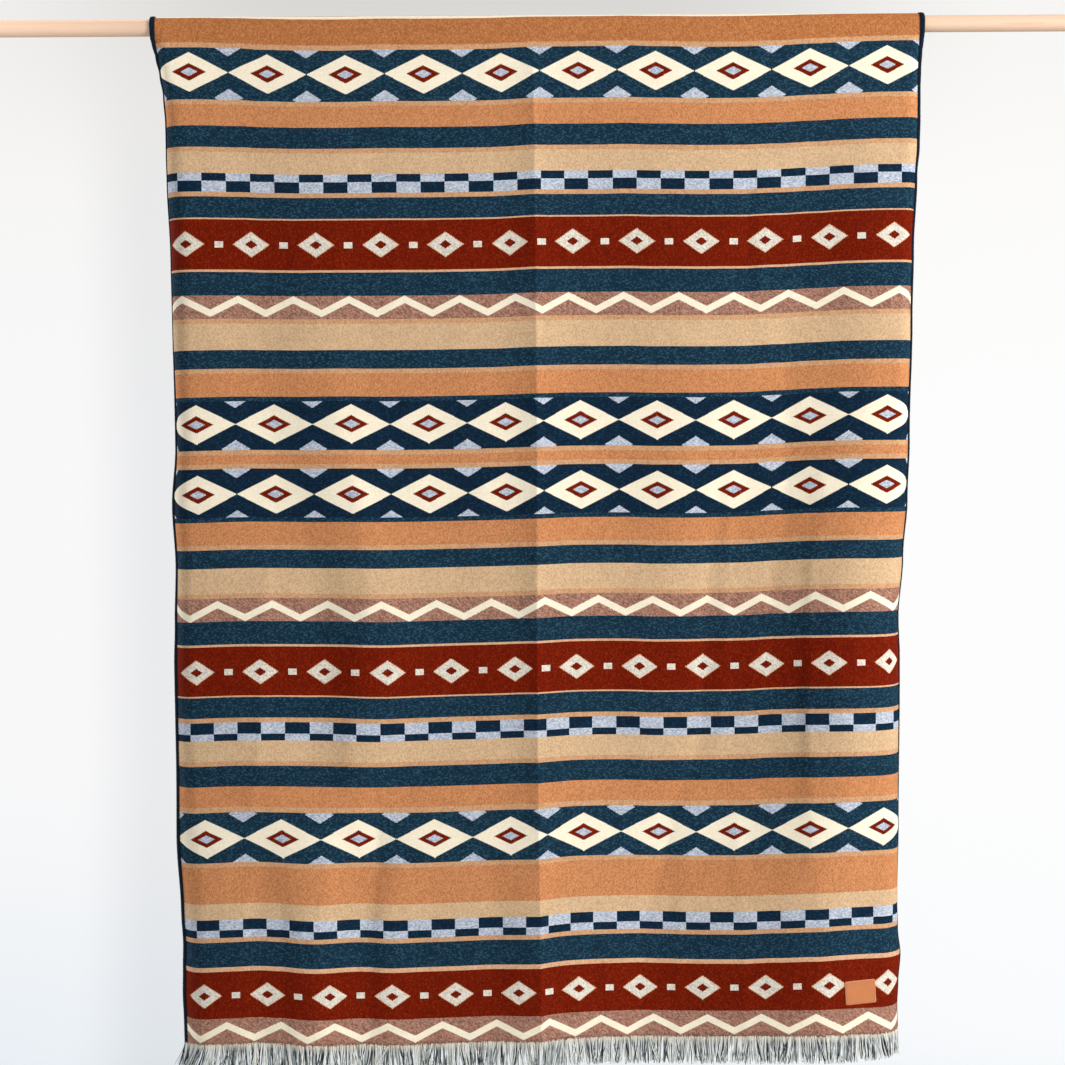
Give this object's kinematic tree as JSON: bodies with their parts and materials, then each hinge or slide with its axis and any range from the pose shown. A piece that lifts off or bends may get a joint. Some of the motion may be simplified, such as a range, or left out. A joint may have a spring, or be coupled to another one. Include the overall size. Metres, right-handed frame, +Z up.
{
  "type": "throw blanket hung over a wooden rod",
  "caption": "Woven throw blanket with a banded pattern, overlocked side edges, short fringe and a blank leather patch, hung over a round wooden rod in soft vertical folds.",
  "frame": {"origin": "middle of the rod's axis", "axes": "+X along the rod towards the right as seen from the front, +Y to the back, away from the viewer, +Z up"},
  "size_m": [1.9, 0.1129, 1.7958],
  "materials": {
    "woven_cloth": "matte woven cloth",
    "navy_yarn": "matte stitched yarn",
    "fringe_yarn": "matte twisted yarn",
    "leather": "smooth satin",
    "pine": "plain sanded"
  },
  "bodies": {
    "root": {"throw": "woven_cloth", "edging_left": "navy_yarn", "edging_right": "navy_yarn", "fringe_front": "fringe_yarn", "fringe_back": "fringe_yarn", "label_patch": "leather", "rod": "pine"}
  },
  "joints": []
}
